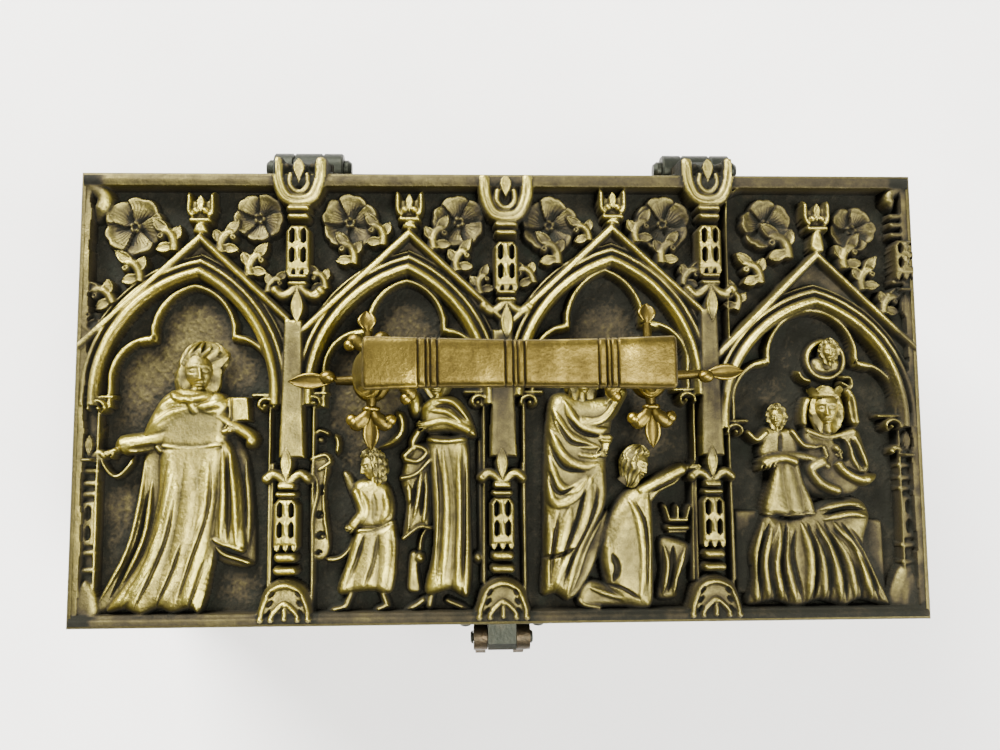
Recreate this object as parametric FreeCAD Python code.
"""Gothic relief casket: a cast bronze box with a hinged relief lid, a strap handle and a fork clasp.

Row frame, millimetres: +Z up, +X to the right, -Y is the front with the clasp, +Y the back with the hinges.
The origin is the centre of the underside, which rests on the table.
Each function makes one separate physical piece or one group of identical fasteners.
"""

import math
import os

import FreeCAD
import Part

V = FreeCAD.Vector
X_DIR, Y_DIR, Z_DIR = V(1, 0, 0), V(0, 1, 0), V(0, 0, 1)

# ---- driving dimensions ----
LID_L, LID_W = 200.0, 106.0          # the lid's footprint
LID_H = 12.0                         # the lid's edge, from the seam to its top plane
SEAM_Z = 72.0                        # where the lid meets the body
LID_TOP_Z = SEAM_Z + LID_H
RELIEF_DEPTH = 7.0                   # from the lid's top plane down to its sunk ground
LID_GROUND_T = 3.0                   # metal left under the sunk ground
LID_SKIRT_T = 4.0
GROUND_Z = LID_TOP_Z - RELIEF_DEPTH
LID_UNDER_Z = GROUND_Z - LID_GROUND_T

BODY_L, BODY_W = 198.0, 104.0        # the body's outer faces, a 1 mm reveal under the lid
PLINTH_FLARE = 4.0                   # how far the foot stands out past the body all round
PLINTH_H = 8.0
PLINTH_RING = 10.0                   # how far the plinth reaches inward from the body's outer faces
WALL_T = 5.0                         # a wall's full thickness, relief included
WALL_H = SEAM_Z - PLINTH_H
POST_PROUD = 0.5                     # how far a corner post stands out past the walls
POST = WALL_T + POST_PROUD           # side of a corner post
LONG_WALL, SHORT_WALL = BODY_L - 2 * WALL_T, BODY_W - 2 * WALL_T
LONG_BAYS, SHORT_BAYS = 6, 3
CENTRE_PIER = 15.0                   # plain width left in the middle of the two long walls
FLOOR_T, FLOOR_INSET, FLOOR_GAP = 3.0, 4.5, 0.1
FLOOR_HALF_X, FLOOR_HALF_Y = BODY_L / 2 - FLOOR_INSET, BODY_W / 2 - FLOOR_INSET
ANGLE_LEG, ANGLE_T = 9.0, 1.5        # the folded strips inside the corners
ANGLE_Z0, ANGLE_Z1 = PLINTH_H + 1.0, SEAM_Z - 4.0
ANGLE_RIVET_Z = (PLINTH_H + 12.0, SEAM_Z - 15.0)

RIVET_R, HOLE_R = 1.0, 1.05          # every rivet's shank, and the hole it fills
SCREW_R, SCREW_HOLE_R = 1.1, 1.16
FLOOR_SCREW_LEN, WALL_SCREW_LEN = 5.8, 12.4

HINGE_X = (-48.0, 49.5)              # the two hinges, on the second and fourth colonnettes
HINGE_Y, BARREL_R = 57.9, 3.9        # the hinge axis lies behind the back edge, at the seam
KNUCKLE_MID, KNUCKLE_OUT, KNUCKLE_GAP = 7.0, 5.0, 0.1
HINGE_PIN_R, HINGE_BORE_R = 1.5, 1.56
BODY_LEAF_T, LID_LEAF_T = 1.8, 1.6
LID_LEAF_Z0, LID_LEAF_Z1 = 75.2, 79.8

HASP_X, HASP_Y, HASP_Z = -0.7, -57.4, 76.0   # the clasp's pivot
LUG_W, LUG_FRONT_Y, LUG_PLATE_T = 6.6, -60.2, 1.0
ARM_W, ARM_GAP, EYE_R = 3.2, 0.15, 3.0
HASP_PIN_R, HASP_BORE_R = 0.94, 1.0
CATCH_Z, CATCH_PLATE_T, BALL_R = 61.6, 1.2, 3.2

HANDLE_FEET = ((-31.0, 2.9), (34.0, 3.4))    # centres of the handle's two feet
HANDLE_TOP = 38.0                    # top of the grip above the lid's top plane
GRIP_T, GRIP_W_END, GRIP_W_MID = 5.0, 11.0, 9.8
GRIP_X0, GRIP_X1, GRIP_Y = -30.3, 33.7, 2.9
GROOVE_GROUPS, GROOVE_PITCH = (-17.0, 0.6, 19.6), 1.9
CROSS_T = 2.0                        # thickness of a handle's fleury cross
CROSS_TILT = 3.0
GRIP_Z1 = LID_TOP_Z + HANDLE_TOP
GRIP_Z0 = GRIP_Z1 - GRIP_T
FOOT_Z = LID_TOP_Z + CROSS_T

# each bay of the lid: centre, half width of the niche, springing line, apex of the niche, apex of the gable
LID_BAYS = ((-74.0, 19.0, 0.0, 28.0, 40.0), (-23.5, 19.5, 0.0, 30.5, 41.0),
            (26.0, 19.5, 0.0, 31.5, 41.5), (75.5, 19.5, -6.0, 21.0, 34.5))
LID_NICHE_FOOT, LID_SPANDREL_TOP = -50.5, 50.3
# plain figures in the niches: centre, foot, shoulder, half width at the foot and at the shoulder
FIGURES = ((-74.0, -49.0, -3.0, 11.0, 7.0), (-33.0, -47.0, -21.0, 6.5, 4.5), (-15.0, -47.0, -6.0, 7.0, 6.0),
           (15.0, -48.0, -5.0, 7.0, 6.0), (29.0, -49.0, -20.0, 8.0, 4.5), (78.0, -49.0, -10.0, 13.0, 7.0))
FIGURE_HEAD_R = 3.6


# ---- small helpers ----
def box(x0, x1, y0, y1, z0, z1):
    return Part.makeBox(x1 - x0, y1 - y0, z1 - z0, V(x0, y0, z0))


def polygon_face(points):
    return Part.Face(Part.makePolygon([V(*p) for p in points] + [V(*points[0])]))


def union(shapes):
    """One solid from several that touch or overlap."""
    return shapes[0].multiFuse(shapes[1:]).removeSplitter()


def cylinder(radius, length, base, direction):
    return Part.makeCylinder(radius, length, V(*base), V(direction))


def turned(profile, base, direction):
    """A turned piece about an axis through base. profile is a closed list of (distance along it, radius)."""
    face = polygon_face([(u, r, 0) for u, r in profile])
    solid = face.revolve(V(0, 0, 0), X_DIR, 360)
    solid.Placement = FreeCAD.Placement(V(*base), FreeCAD.Rotation(X_DIR, V(direction)))
    return solid


def drilled(shape, radius, depth, mouths, direction):
    """Holes of one size, each starting half a millimetre outside its mouth."""
    d = V(direction)
    holes = [cylinder(radius, depth + 0.5, V(*m) - d * 0.5, d) for m in mouths]
    return shape.cut(Part.makeCompound(holes)).removeSplitter()


def arch_arc(cx, half, spring, apex, side):
    """One side of a two-centred pointed arch in the XY plane, from its springing up to its apex."""
    rise = apex - spring
    radius = (half * half + rise * rise) / (2 * half)
    centre_x = cx + side * (half - radius)
    sweep = math.atan2(rise, side * (cx - centre_x))
    middle = V(centre_x + side * radius * math.cos(sweep / 2), spring + radius * math.sin(sweep / 2), 0)
    return Part.Arc(V(cx + side * half, spring, 0), middle, V(cx, apex, 0)).toShape()


def arch_face(cx, half, foot, spring, apex):
    """A pointed-arch opening as a face in the XY plane."""
    low_left, low_right = V(cx - half, foot, 0), V(cx + half, foot, 0)
    edges = [Part.makeLine(V(cx - half, spring, 0), low_left), Part.makeLine(low_left, low_right),
             Part.makeLine(low_right, V(cx + half, spring, 0)),
             arch_arc(cx, half, spring, apex, 1), arch_arc(cx, half, spring, apex, -1)]
    return Part.Face(Part.Wire(Part.__sortEdges__(edges)))


def raised(face, z0, z1):
    """A face in the XY plane, extruded from z0 to z1."""
    lifted = face.copy()
    lifted.translate(V(0, 0, z0))
    return lifted.extrude(V(0, 0, z1 - z0))


def moulded_block(half_x, half_y, profile):
    """A rectangular block whose four sides follow one moulding, mitred at the corners.

    profile is a list of (outset, z) from the bottom up, added to the half sizes."""
    def slab(half, length, along_x):
        right = [(half + out, z) for out, z in profile]
        left = [(-u, z) for u, z in reversed(right)]
        if along_x:
            return polygon_face([(-length, u, z) for u, z in right + left]).extrude(V(2 * length, 0, 0))
        return polygon_face([(u, -length, z) for u, z in right + left]).extrude(V(0, 2 * length, 0))

    reach = 2 * max(half_x, half_y)
    return slab(half_y, reach, True).common(slab(half_x, reach, False))


def at_corner(shape, sx, sy):
    """A piece made for the +X +Y corner, mirrored to the corner with those signs."""
    if sx < 0:
        shape = shape.mirror(V(0, 0, 0), X_DIR)
    if sy < 0:
        shape = shape.mirror(V(0, 0, 0), Y_DIR)
    return shape


def rivet(mouth, direction, depth, head_r=1.8, head_h=0.9):
    """A rivet: its shank goes in from mouth against direction, and its domed head stands out along it."""
    dome_r = (head_r * head_r + head_h * head_h) / (2 * head_h)
    steps = 4
    rise = [head_h * k / steps for k in range(steps + 1)]
    dome = [(u, math.sqrt(max(0.0, dome_r ** 2 - (u + dome_r - head_h) ** 2))) for u in rise]
    return turned([(-depth, 0), (-depth, RIVET_R), (0, RIVET_R)] + dome, mouth, direction)


def countersunk_screw(mouth, length):
    """A slotted countersunk screw driven up from below."""
    x, y = mouth
    screw = turned([(0.1, 0), (0.1, 2.1), (1.2, SCREW_R), (length, SCREW_R), (length, 0)], (x, y, 0), Z_DIR)
    return screw.cut(box(x - 3, x + 3, y - 0.3, y + 0.3, 0, 0.6))


def countersink(x, y):
    return Part.makeCone(2.3, SCREW_HOLE_R, 1.2, V(x, y, 0), Z_DIR)


# ---- the body ----
FLOOR_SCREWS = [(x, y) for x in (-82.0, 0.0, 82.0) for y in (-FLOOR_HALF_Y + 2.7, FLOOR_HALF_Y - 2.7)]
WALL_SCREWS = ([(x, s * (BODY_W / 2 - 1.8)) for x in (-70.0, 0.0, 70.0) for s in (-1, 1)]
               + [(s * (BODY_L / 2 - 1.8), y) for y in (-25.0, 25.0) for s in (-1, 1)])


def plinth_lengths():
    """The flared foot, as four moulded lengths mitred at the corners, rebated below for the floor plate."""
    flare = PLINTH_FLARE
    profile = [(flare, 0.0), (flare, 2.2), (flare - 1.0, 3.0), (flare - 1.6, 4.4), (flare - 2.8, 5.8),
               (0.9, 6.4), (0.9, PLINTH_H)]
    in_x, in_y = BODY_L / 2 - PLINTH_RING, BODY_W / 2 - PLINTH_RING
    ring = moulded_block(BODY_L / 2, BODY_W / 2, profile)
    ring = ring.cut(box(-in_x, in_x, -in_y, in_y, -1, PLINTH_H + 1))
    reach_x, reach_y = FLOOR_HALF_X + FLOOR_GAP, FLOOR_HALF_Y + FLOOR_GAP
    ring = ring.cut(box(-reach_x, reach_x, -reach_y, reach_y, -1, FLOOR_T))
    mouths = [(x, y, FLOOR_T) for x, y in FLOOR_SCREWS]
    ring = drilled(ring, SCREW_HOLE_R, FLOOR_SCREW_LEN - FLOOR_T + 0.2, mouths, Z_DIR)
    ring = drilled(ring, SCREW_HOLE_R, PLINTH_H + 1, [(x, y, 0) for x, y in WALL_SCREWS], Z_DIR)
    ring = ring.cut(Part.makeCompound([countersink(x, y) for x, y in WALL_SCREWS]))
    spread = 20.0
    out_x, out_y = in_x + spread, in_y + spread
    front = [(-out_x, -out_y, -1), (out_x, -out_y, -1), (in_x, -in_y, -1), (-in_x, -in_y, -1)]
    right = [(out_x, -out_y, -1), (out_x, out_y, -1), (in_x, in_y, -1), (in_x, -in_y, -1)]
    sides = {"front": front, "back": [(-x, -y, z) for x, y, z in front],
             "right": right, "left": [(-x, -y, z) for x, y, z in right]}
    return {name: ring.common(polygon_face(outline).extrude(V(0, 0, PLINTH_H + 2)))
            for name, outline in sides.items()}


def floor_plate():
    plate = box(-FLOOR_HALF_X, FLOOR_HALF_X, -FLOOR_HALF_Y, FLOOR_HALF_Y, 0, FLOOR_T)
    plate = drilled(plate, SCREW_HOLE_R, FLOOR_T + 1, [(x, y, 0) for x, y in FLOOR_SCREWS], Z_DIR)
    return plate.cut(Part.makeCompound([countersink(x, y) for x, y in FLOOR_SCREWS]))


def floor_screws():
    return Part.makeCompound([countersunk_screw(at, FLOOR_SCREW_LEN) for at in FLOOR_SCREWS])


def wall_screws():
    """Screws up through the plinth into the feet of the walls."""
    return Part.makeCompound([countersunk_screw(at, WALL_SCREW_LEN) for at in WALL_SCREWS])


def lancet_wall(length, bays, pier=0.0):
    """A wall lying flat in the XY plane, relief towards +Z: stepped pointed niches either side of a pier."""
    niche_depth, step, foot, spring = 2.6, 2.2, 5.0, 34.0
    pitch = (length - pier) / bays
    wall = box(-length / 2, length / 2, 0, WALL_H, 0, WALL_T)
    niches = []
    for i in range(bays):
        centre = -length / 2 + pitch * (i + 0.5) + (pier if pier and i >= bays / 2 else 0.0)
        half = pitch / 2 - 3.2
        apex = spring + pitch * 0.62
        outer = arch_face(centre, half, foot, spring, apex)
        inner = arch_face(centre, half - step, foot, spring, apex - step * 1.7)
        niches.append(raised(outer, WALL_T - niche_depth / 2, WALL_T + 1))
        niches.append(raised(inner, WALL_T - niche_depth, WALL_T + 1))
    return wall.cut(Part.makeCompound(niches)).removeSplitter()


def stand_up(flat, turn, distance):
    """Stands a flat wall on the plinth with its relief facing out, turned to its side, at that distance."""
    wall = flat.copy()
    wall.rotate(V(0, 0, 0), X_DIR, 90)
    wall.translate(V(0, -distance + WALL_T, PLINTH_H))
    wall.rotate(V(0, 0, 0), Z_DIR, turn)
    mouths = [(x, y, PLINTH_H) for x, y in WALL_SCREWS]
    return drilled(wall, SCREW_HOLE_R, WALL_SCREW_LEN - PLINTH_H + 0.2, mouths, Z_DIR)


def angle_rivet_mouths():
    """Where each corner's four rivets enter: on the strip's faces, with the direction they go in."""
    in_x, in_y = BODY_L / 2 - WALL_T - ANGLE_T, BODY_W / 2 - WALL_T - ANGLE_T
    reach = ANGLE_LEG * 0.6 + ANGLE_T
    mouths = []
    for sx in (-1, 1):
        for sy in (-1, 1):
            for z in ANGLE_RIVET_Z:
                mouths.append(((sx * (in_x - reach), sy * in_y, z), (0, sy, 0)))
                mouths.append(((sx * in_x, sy * (in_y - reach), z), (sx, 0, 0)))
    return mouths


def angle_drilled(shape):
    for mouth, inward in angle_rivet_mouths():
        shape = shape.cut(cylinder(HOLE_R, ANGLE_T + 1.8, mouth, V(*inward)))
    return shape


def corner_rivets():
    made = [rivet(mouth, V(*inward) * -1, ANGLE_T + 1.7) for mouth, inward in angle_rivet_mouths()]
    return Part.makeCompound(made)


def corner_angle(sx, sy):
    """A folded strip in an inside corner, riveted to the two walls that meet there."""
    cx, cy = BODY_L / 2 - WALL_T, BODY_W / 2 - WALL_T
    leg_x = box(cx - ANGLE_LEG, cx, cy - ANGLE_T, cy, ANGLE_Z0, ANGLE_Z1)
    leg_y = box(cx - ANGLE_T, cx, cy - ANGLE_LEG, cy, ANGLE_Z0, ANGLE_Z1)
    return angle_drilled(at_corner(leg_x.fuse(leg_y).removeSplitter(), sx, sy))


def corner_post(sx, sy):
    """A chamfered corner buttress with sunk panels, from the plinth to the seam."""
    out_x, out_y = BODY_L / 2 + POST_PROUD, BODY_W / 2 + POST_PROUD
    x0, y0, chamfer, sunk, rim = out_x - POST, out_y - POST, 1.4, 0.5, 1.2
    shaft = polygon_face([(x0, y0, PLINTH_H), (out_x, y0, PLINTH_H), (out_x, out_y - chamfer, PLINTH_H),
                          (out_x - chamfer, out_y, PLINTH_H), (x0, out_y, PLINTH_H)])
    post = shaft.extrude(V(0, 0, WALL_H))
    for low, high in ((PLINTH_H + 8, PLINTH_H + 28), (PLINTH_H + 32, SEAM_Z - 8)):
        post = post.cut(box(out_x - sunk, out_x + 1, y0 + rim, out_y - chamfer - rim, low, high))
        post = post.cut(box(x0 + rim, out_x - chamfer - rim, out_y - sunk, out_y + 1, low, high))
    return at_corner(post, sx, sy)


def wall_front():
    wall = stand_up(lancet_wall(LONG_WALL, LONG_BAYS, CENTRE_PIER), 0, BODY_W / 2)
    wall = drilled(wall, HOLE_R, 3.2, [(x, -BODY_W / 2, z) for x, z in CATCH_RIVETS], Y_DIR)
    wall = drilled(wall, 1.55, 3.1, [(HASP_X, -BODY_W / 2, CATCH_Z)], Y_DIR)
    return angle_drilled(wall)


def wall_back():
    """The back wall, filled out flat where the hinge leaves lie on it."""
    wall = stand_up(lancet_wall(LONG_WALL, LONG_BAYS, CENTRE_PIER), 180, BODY_W / 2)
    pads = [box(hx - 9.5, hx + 9.5, BODY_W / 2 - WALL_T, BODY_W / 2, 45, SEAM_Z) for hx in HINGE_X]
    mouths = [(x, BODY_W / 2, z) for x, z in BODY_LEAF_RIVETS]
    wall = drilled(union([wall] + pads), HOLE_R, 3.2, mouths, -Y_DIR)
    return angle_drilled(wall)


def wall_left():
    return angle_drilled(stand_up(lancet_wall(SHORT_WALL, SHORT_BAYS), 270, BODY_L / 2))


def wall_right():
    return angle_drilled(stand_up(lancet_wall(SHORT_WALL, SHORT_BAYS), 90, BODY_L / 2))


# ---- the hinges ----
KNUCKLE_IN = KNUCKLE_MID / 2 + KNUCKLE_GAP
KNUCKLE_END = KNUCKLE_IN + KNUCKLE_OUT
BODY_LEAF_RIVETS = [(hx + dx, z) for hx in HINGE_X for dx, z in ((-5.0, 62.0), (5.0, 62.0), (0.0, 51.5))]
LID_LEAF_RIVETS = [(hx + dx, 77.6) for hx in HINGE_X for dx in (-5.6, 5.6)]


def knuckle(hx, x0, x1):
    """One knuckle, from x0 to x1 measured from the hinge's middle, its outer edges eased."""
    ease = 0.4
    return turned([(0, 0), (0, BARREL_R - ease), (ease, BARREL_R), (x1 - x0 - ease, BARREL_R),
                   (x1 - x0, BARREL_R - ease), (x1 - x0, 0)], (hx + x0, HINGE_Y, SEAM_Z), X_DIR)


def pin_bore(hx):
    return cylinder(HINGE_BORE_R, 30, (hx - 15, HINGE_Y, SEAM_Z), X_DIR)


def hinge_body_leaf(hx):
    """The lower leaf: a shield-shaped plate on the back wall with the two outer knuckles."""
    y0, seam_gap = BODY_W / 2, 0.15
    shield = polygon_face([(hx - KNUCKLE_END, y0, 66.0), (hx - KNUCKLE_END, y0, 56.0), (hx, y0, 47.0),
                           (hx + KNUCKLE_END, y0, 56.0), (hx + KNUCKLE_END, y0, 66.0)])
    pieces = [shield.extrude(V(0, BODY_LEAF_T, 0))]
    for a, b in ((-KNUCKLE_END, -KNUCKLE_IN), (KNUCKLE_IN, KNUCKLE_END)):
        pieces.append(knuckle(hx, a, b))
        pieces.append(box(hx + a, hx + b, y0, HINGE_Y, 65.5, SEAM_Z - seam_gap))
    leaf = union(pieces).cut(pin_bore(hx))
    mouths = [(x, y0 + BODY_LEAF_T, z) for x, z in BODY_LEAF_RIVETS]
    return drilled(leaf, HOLE_R, BODY_LEAF_T + 0.5, mouths, -Y_DIR)


def hinge_lid_leaf(hx):
    """The upper leaf: a plate on the lid's back edge, under the capital, with the middle knuckle."""
    y0, half, seam_gap = LID_W / 2, KNUCKLE_MID / 2, 0.3
    plate = box(hx - 7.8, hx + 7.8, y0, y0 + LID_LEAF_T, LID_LEAF_Z0, LID_LEAF_Z1)
    web = polygon_face([(hx - half, y0, SEAM_Z + seam_gap), (hx - half, HINGE_Y, SEAM_Z + seam_gap),
                        (hx - half, HINGE_Y + 1.6, SEAM_Z + 3.4), (hx - half, y0 + LID_LEAF_T, LID_LEAF_Z1),
                        (hx - half, y0, LID_LEAF_Z1)]).extrude(V(KNUCKLE_MID, 0, 0))
    leaf = union([plate, web, knuckle(hx, -half, half)]).cut(pin_bore(hx))
    mouths = [(x, y0 + LID_LEAF_T, z) for x, z in LID_LEAF_RIVETS]
    return drilled(leaf, HOLE_R, LID_LEAF_T + 0.5, mouths, -Y_DIR)


def hinge_pin(hx):
    """The hinge pin, peened to a button at each end."""
    end, head_r, head_t = KNUCKLE_END + 0.1, 2.3, 1.9
    half = [(0, 0), (0, 1.6), (0.9, head_r), (head_t, head_r), (head_t, HINGE_PIN_R)]
    length = 2 * (end + head_t)
    profile = half + [(length - u, r) for u, r in reversed(half)]
    return turned(profile, (hx - end - head_t, HINGE_Y, SEAM_Z), X_DIR)


def hinge_body_rivets():
    y0 = BODY_W / 2 + BODY_LEAF_T
    return Part.makeCompound([rivet((x, y0, z), Y_DIR, BODY_LEAF_T + 3.0) for x, z in BODY_LEAF_RIVETS])


def hinge_lid_rivets():
    y0 = LID_W / 2 + LID_LEAF_T
    return Part.makeCompound([rivet((x, y0, z), Y_DIR, LID_LEAF_T + 2.4) for x, z in LID_LEAF_RIVETS])


# ---- the lid ----
def lid_casting():
    """The lid as cast: an edge frame, a sunk ground with four gabled niches, plain figures and hinge tabs."""
    top = LID_TOP_Z
    edge = [(0.0, SEAM_Z), (0.0, top - 3.0), (-0.6, top - 2.2), (-0.6, top - 1.2), (-1.2, top)]
    lid = moulded_block(LID_L / 2, LID_W / 2, edge)
    in_x, in_y = LID_L / 2 - LID_SKIRT_T, LID_W / 2 - LID_SKIRT_T
    hollows = [box(-in_x, in_x, -in_y, in_y, SEAM_Z - 1, LID_UNDER_Z)]
    for cx, half, spring, apex, gable in LID_BAYS:
        hollows.append(raised(arch_face(cx, half, LID_NICHE_FOOT, spring, apex), GROUND_Z, top + 1))
        near, far = 3.0, half + 1.0
        for side in (-1, 1):
            x_near, x_far = cx + side * near, cx + side * far
            corner = polygon_face([(x_near, gable + 1.0, 0), (x_near, LID_SPANDREL_TOP, 0),
                                   (x_far, LID_SPANDREL_TOP, 0), (x_far, gable - far + 3.0, 0)])
            hollows.append(raised(corner, GROUND_Z + 1.0, top + 1))
    lid = lid.cut(Part.makeCompound(hollows))
    added = []
    for hx in HINGE_X:
        tab = polygon_face([(hx - 3.0, 45.0, 0), (hx + 3.0, 45.0, 0), (hx + 6.5, 51.0, 0), (hx + 6.5, 57.0, 0),
                            (hx - 6.5, 57.0, 0), (hx - 6.5, 51.0, 0)])
        added.append(raised(tab, top - 3.6, top))
    for cx, foot, shoulder, half_foot, half_shoulder in FIGURES:
        robe = polygon_face([(cx - half_foot, foot, 0), (cx + half_foot, foot, 0),
                             (cx + half_shoulder, shoulder, 0), (cx - half_shoulder, shoulder, 0)])
        added.append(raised(robe, GROUND_Z - 0.5, top - 2.5))
        added.append(Part.makeSphere(FIGURE_HEAD_R, V(cx, shoulder + 3.0, top - 4.0)))
    added += [cylinder(5.0, RELIEF_DEPTH + 0.5, (x, y, GROUND_Z - 0.5), Z_DIR) for x, y in HANDLE_FEET]
    lid = union([lid] + added)
    lid = drilled(lid, 1.75, 20, [(x, y, LID_UNDER_Z) for x, y in HANDLE_FEET], Z_DIR)
    lid = drilled(lid, HOLE_R, 2.6, [(x, LID_W / 2, z) for x, z in LID_LEAF_RIVETS], -Y_DIR)
    return drilled(lid, HOLE_R, 2.6, [(x, -LID_W / 2, z) for x, z in LUG_RIVETS], Y_DIR)


# ---- the clasp ----
CATCH_RIVETS = [(HASP_X, z) for z in (51.5, 69.0)]
LUG_RIVETS = [(HASP_X + dx, 77.6) for dx in (-8.6, 8.6)]


def hasp_bore():
    return cylinder(HASP_BORE_R, 30, (HASP_X - 15, HASP_Y, HASP_Z), X_DIR)


def hasp_lug():
    """The lug on the lid's front edge that the clasp's fork straddles, on its riveted plate."""
    y0, half = -LID_W / 2, LUG_W / 2
    plate = box(HASP_X - 10.6, HASP_X + 10.6, y0 - LUG_PLATE_T, y0, 75.2, 80.0)
    profile = polygon_face([(HASP_X - half, y0, 72.6), (HASP_X - half, LUG_FRONT_Y + 1.4, 72.6),
                            (HASP_X - half, LUG_FRONT_Y, 74.0), (HASP_X - half, LUG_FRONT_Y, 78.0),
                            (HASP_X - half, LUG_FRONT_Y + 1.6, 79.6), (HASP_X - half, y0, 79.6)])
    lug = union([plate, profile.extrude(V(LUG_W, 0, 0))]).cut(hasp_bore())
    return drilled(lug, HOLE_R, LUG_PLATE_T + 0.5, [(x, y0 - LUG_PLATE_T, z) for x, z in LUG_RIVETS], Y_DIR)


def hasp_lug_rivets():
    y0 = -LID_W / 2 - LUG_PLATE_T
    return Part.makeCompound([rivet((x, y0, z), -Y_DIR, LUG_PLATE_T + 2.4, 1.6, 0.8) for x, z in LUG_RIVETS])


def fork_side():
    """The side view of one arm of the fork, in the YZ plane: an eye, a shank and a flared thumb tip."""
    y, z = HASP_Y, HASP_Z
    front, top, back = V(0, y - EYE_R, z), V(0, y, z + EYE_R), V(0, y + EYE_R, z)
    down_front = [front, V(0, y - 2.4, z - 6), V(0, y - 2.7, z - 10), V(0, y - 6.0, z - 15.2)]
    up_back = [V(0, y - 4.6, z - 17.0), V(0, y - 0.6, z - 12), V(0, y + 0.9, z - 6), back]
    corners = down_front + up_back
    edges = [Part.makeLine(a, b) for a, b in zip(corners, corners[1:])]
    return Part.Face(Part.Wire([Part.Arc(back, top, front).toShape()] + edges))


def hasp_fork():
    """The clasp's fork: two arms joined by a web, tapering to thumb tips turned out."""
    inner, outer = LUG_W / 2 + ARM_GAP, LUG_W / 2 + ARM_GAP + ARM_W
    pieces, wedges = [], []
    for side in (-1, 1):
        arm = fork_side().extrude(V(ARM_W, 0, 0))
        arm.translate(V(HASP_X + (inner if side > 0 else -outer), 0, 0))
        pieces.append(arm)
        shaved = [(outer + 1, 70), (outer + 1, 58), (outer - 0.9, 58), (outer, 70)]
        wedges.append(polygon_face([(HASP_X + side * u, -70, z) for u, z in shaved]).extrude(V(0, 30, 0)))
    pieces.append(box(HASP_X - inner - 1, HASP_X + inner + 1, HASP_Y - 2.0, HASP_Y + 0.7, HASP_Z - 8.8,
                      HASP_Z - 5.4))
    return union(pieces).cut(Part.makeCompound(wedges)).cut(hasp_bore())


def hasp_pin():
    """The clasp's pivot pin, riveted over outside the arms."""
    end, head_r, head_t = LUG_W / 2 + ARM_GAP + ARM_W + 0.15, 1.5, 0.6
    half = [(0, 0), (0, head_r - 0.4), (0.3, head_r), (head_t, head_r), (head_t, HASP_PIN_R)]
    length = 2 * (end + head_t)
    profile = half + [(length - u, r) for u, r in reversed(half)]
    return turned(profile, (HASP_X - end - head_t, HASP_Y, HASP_Z), X_DIR)


def catch_plate():
    """The plate on the front wall that carries the ball stud."""
    x, y0 = HASP_X, -BODY_W / 2
    outline = polygon_face([(x - 4.5, y0, 48.5), (x + 4.5, y0, 48.5), (x + 6.5, y0, 52.0), (x + 6.5, y0, 68.5),
                            (x + 4.0, y0, 71.5), (x - 4.0, y0, 71.5), (x - 6.5, y0, 68.5), (x - 6.5, y0, 52.0)])
    plate = outline.extrude(V(0, -CATCH_PLATE_T, 0))
    plate = drilled(plate, HOLE_R, 3, [(rx, y0 - CATCH_PLATE_T, z) for rx, z in CATCH_RIVETS], Y_DIR)
    return drilled(plate, 1.55, 3, [(x, y0 - CATCH_PLATE_T, CATCH_Z)], Y_DIR)


def catch_stud():
    """The ball stud that sits between the fork's arms, on a collared neck driven into the wall."""
    depth, neck_r, collar_r, collar_t = CATCH_PLATE_T + 3.0, 1.5, 2.2, 0.6
    centre = 3.7
    rounds = 10
    first = math.asin(neck_r / BALL_R)
    ball = []
    for k in range(rounds + 1):
        angle = math.pi - first - (math.pi - first) * k / rounds
        ball.append((centre + BALL_R * math.cos(angle), BALL_R * math.sin(angle)))
    profile = [(-depth, 0), (-depth, neck_r), (0, neck_r), (0, collar_r), (collar_t, collar_r),
               (collar_t, neck_r)]
    base = (HASP_X, -BODY_W / 2 - CATCH_PLATE_T, CATCH_Z)
    return turned(profile + ball[:-1] + [(centre + BALL_R, 0)], base, -Y_DIR)


def catch_rivets():
    y0 = -BODY_W / 2 - CATCH_PLATE_T
    return Part.makeCompound([rivet((x, y0, z), -Y_DIR, CATCH_PLATE_T + 3.0, 1.6, 0.8) for x, z in CATCH_RIVETS])


# ---- the handle ----
def grip_bar():
    """The strap: waisted in plan, with eased top edges and three groups of turned grooves."""
    x0, x1, y, z = GRIP_X0, GRIP_X1, GRIP_Y, GRIP_Z0
    xm = (x0 + x1) / 2
    we, wm = GRIP_W_END / 2, GRIP_W_MID / 2
    front = Part.Arc(V(x0, y - we, z), V(xm, y - wm, z), V(x1, y - we, z)).toShape()
    back = Part.Arc(V(x1, y + we, z), V(xm, y + wm, z), V(x0, y + we, z)).toShape()
    outline = Part.Wire([front, Part.makeLine(V(x1, y - we, z), V(x1, y + we, z)), back,
                         Part.makeLine(V(x0, y + we, z), V(x0, y - we, z))])
    bar = Part.Face(outline).extrude(V(0, 0, GRIP_T))
    top_edges = [e for e in bar.Edges if e.BoundBox.ZLength < 0.01 and abs(e.BoundBox.ZMin - GRIP_Z1) < 0.01]
    bar = bar.makeFillet(1.1, top_edges)
    grooves = [cylinder(0.55, 20, (gx + k * GROOVE_PITCH, y - 10, GRIP_Z1 + 0.15), Y_DIR)
               for gx in GROOVE_GROUPS for k in (-1, 0, 1)]
    return bar.cut(Part.makeCompound(grooves))


# a leg's sections: share of its height, half size along X, half size along Y
LEG_SECTIONS = ((0.0, 4.0, 5.4), (0.12, 3.7, 5.0), (0.3, 2.7, 4.0), (0.62, 2.1, 3.5), (1.0, 2.4, 4.2))


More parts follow.
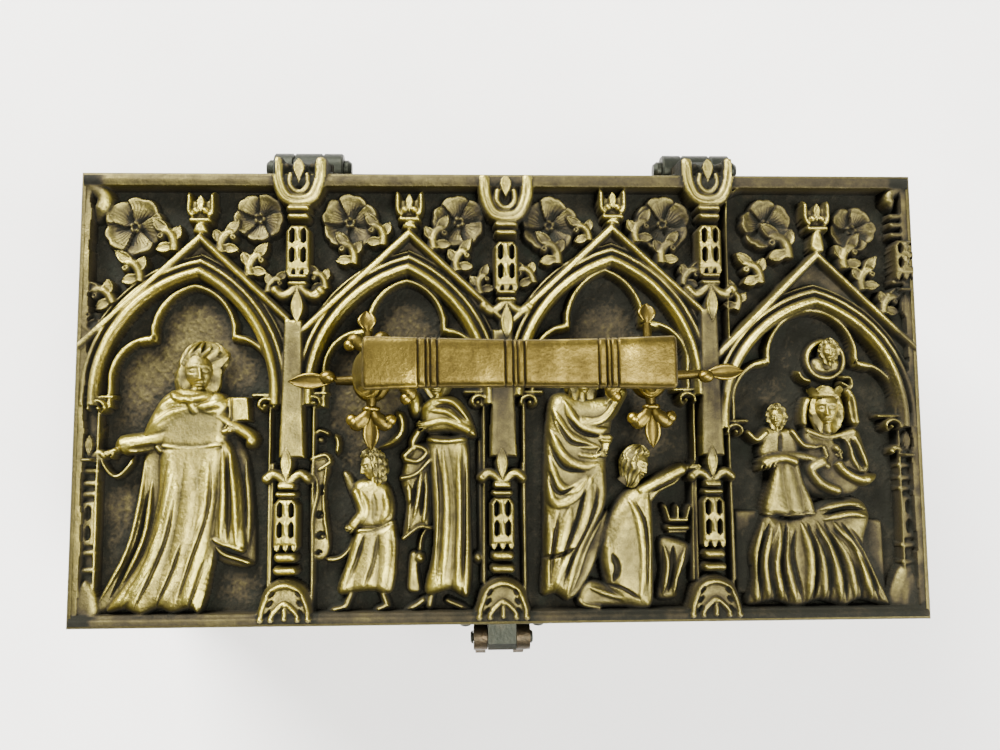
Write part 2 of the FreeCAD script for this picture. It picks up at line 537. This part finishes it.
def handle_leg(foot, top_x):
    """One leg: an oval foot that sweeps up into the end of the strap."""
    fx, fy = foot
    sections = []
    for share, half_x, half_y in LEG_SECTIONS:
        height = FOOT_Z + share * (GRIP_Z0 + 0.8 - FOOT_Z)
        centre = V(fx + (top_x - fx) * share ** 2, fy + (GRIP_Y - fy) * share, height)
        far_y, far_x = centre + V(0, half_y, 0), centre + V(half_x, 0, 0)
        oval = Part.Ellipse(far_y, far_x, centre)
        sections.append(Part.Wire([oval.toShape()]))
    return Part.makeLoft(sections, True, False)


def handle_grip():
    """The handle as cast: the strap and its two legs, each tapped from below for its screw."""
    legs = [handle_leg(HANDLE_FEET[0], GRIP_X0 + 3.4), handle_leg(HANDLE_FEET[1], GRIP_X1 - 3.4)]
    return drilled(union([grip_bar()] + legs), 1.6, 9.0, [(x, y, FOOT_Z) for x, y in HANDLE_FEET], Z_DIR)


def fleur_arm(length):
    """One arm of a fleury cross, along +X from the origin: stem, collar, two lobes and a leaf tip."""
    w = 7.0
    outlines = [
        [(0, -w * 0.3), (length * 0.42, -w * 0.16), (length * 0.42, w * 0.16), (0, w * 0.3)],
        [(length * 0.34, -w * 0.3), (length * 0.42, -w * 0.3), (length * 0.42, w * 0.3), (length * 0.34, w * 0.3)],
        [(length * 0.38, 0), (length * 0.62, -w * 0.3), (length * 0.8, -w * 0.24), (length, 0),
         (length * 0.8, w * 0.24), (length * 0.62, w * 0.3)]]
    for s in (-1, 1):
        outlines.append([(length * 0.40, s * w * 0.08), (length * 0.62, s * w * 0.42), (length * 0.60, s * w * 0.78),
                         (length * 0.48, s * w * 0.74), (length * 0.46, s * w * 0.4), (length * 0.36, s * w * 0.2)])
    return [raised(polygon_face([(x, y, 0) for x, y in outline]), 0, CROSS_T) for outline in outlines]


def handle_cross(foot, reach):
    """A fleury cross under one foot of the handle. reach gives the arms along +X, +Y, -X and -Y."""
    pieces = [cylinder(5.2, CROSS_T, (0, 0, 0), Z_DIR)]
    for turn, length in zip((0, 90, 180, 270), reach):
        for piece in fleur_arm(length):
            piece.rotate(V(0, 0, 0), Z_DIR, turn)
            pieces.append(piece)
    cross = drilled(union(pieces), 1.75, CROSS_T + 1, [(0, 0, 0)], Z_DIR)
    cross.rotate(V(0, 0, 0), Z_DIR, CROSS_TILT)
    cross.translate(V(foot[0], foot[1], LID_TOP_Z))
    return cross


def handle_screws():
    """Cheese-headed screws from inside the lid up into the handle's feet, each through its washer."""
    made = []
    head_z, tip_z = LID_UNDER_Z - 2.2, FOOT_Z + 8.0
    for x, y in HANDLE_FEET:
        profile = [(0, 0), (0, 3.2), (1.4, 3.2), (1.4, 1.5), (tip_z - head_z, 1.5), (tip_z - head_z, 0)]
        screw = turned(profile, (x, y, head_z), Z_DIR)
        made.append(screw.cut(box(x - 4, x + 4, y - 0.4, y + 0.4, head_z - 1, head_z + 0.6)))
    return Part.makeCompound(made)


def handle_washers():
    return Part.makeCompound([turned([(0, 1.7), (0, 4.6), (0.8, 4.6), (0.8, 1.7)], (x, y, LID_UNDER_Z - 0.8), Z_DIR)
                              for x, y in HANDLE_FEET])


def main():
    os.makedirs("parts", exist_ok=True)
    corners = {"front_left": (-1, -1), "front_right": (1, -1), "back_left": (-1, 1), "back_right": (1, 1)}
    parts = {
        "floor_plate": floor_plate(), "floor_screws": floor_screws(), "wall_screws": wall_screws(),
        "wall_front": wall_front(), "wall_back": wall_back(), "wall_left": wall_left(), "wall_right": wall_right(),
        "corner_rivets": corner_rivets(),
        "hinge_body_rivets": hinge_body_rivets(), "hinge_lid_rivets": hinge_lid_rivets(),
        "lid_casting": lid_casting(), "hasp_lug": hasp_lug(), "hasp_lug_rivets": hasp_lug_rivets(),
        "hasp_fork": hasp_fork(), "hasp_pin": hasp_pin(), "catch_plate": catch_plate(),
        "catch_stud": catch_stud(), "catch_rivets": catch_rivets(), "handle_grip": handle_grip(),
        "handle_cross_left": handle_cross(HANDLE_FEET[0], (14.0, 15.7, 19.2, 15.8)),
        "handle_cross_right": handle_cross(HANDLE_FEET[1], (22.4, 16.8, 14.0, 16.5)),
        "handle_screws": handle_screws(), "handle_washers": handle_washers(),
    }
    for side, length in plinth_lengths().items():
        parts["plinth_" + side] = length
    for name, (sx, sy) in corners.items():
        parts["corner_post_" + name] = corner_post(sx, sy)
        parts["corner_angle_" + name] = corner_angle(sx, sy)
    for name, hx in zip(("left", "right"), HINGE_X):
        parts[f"hinge_{name}_body_leaf"] = hinge_body_leaf(hx)
        parts[f"hinge_{name}_lid_leaf"] = hinge_lid_leaf(hx)
        parts[f"hinge_{name}_pin"] = hinge_pin(hx)
    for name, shape in parts.items():
        sound = shape.isValid() and all(s.isValid() for s in shape.Solids)
        print(f"{name:32s} solids {len(shape.Solids)} volume {shape.Volume:10.1f} {'ok' if sound else 'NOT VALID'}")
        shape.exportStep(os.path.join("parts", name + ".step"))


main()
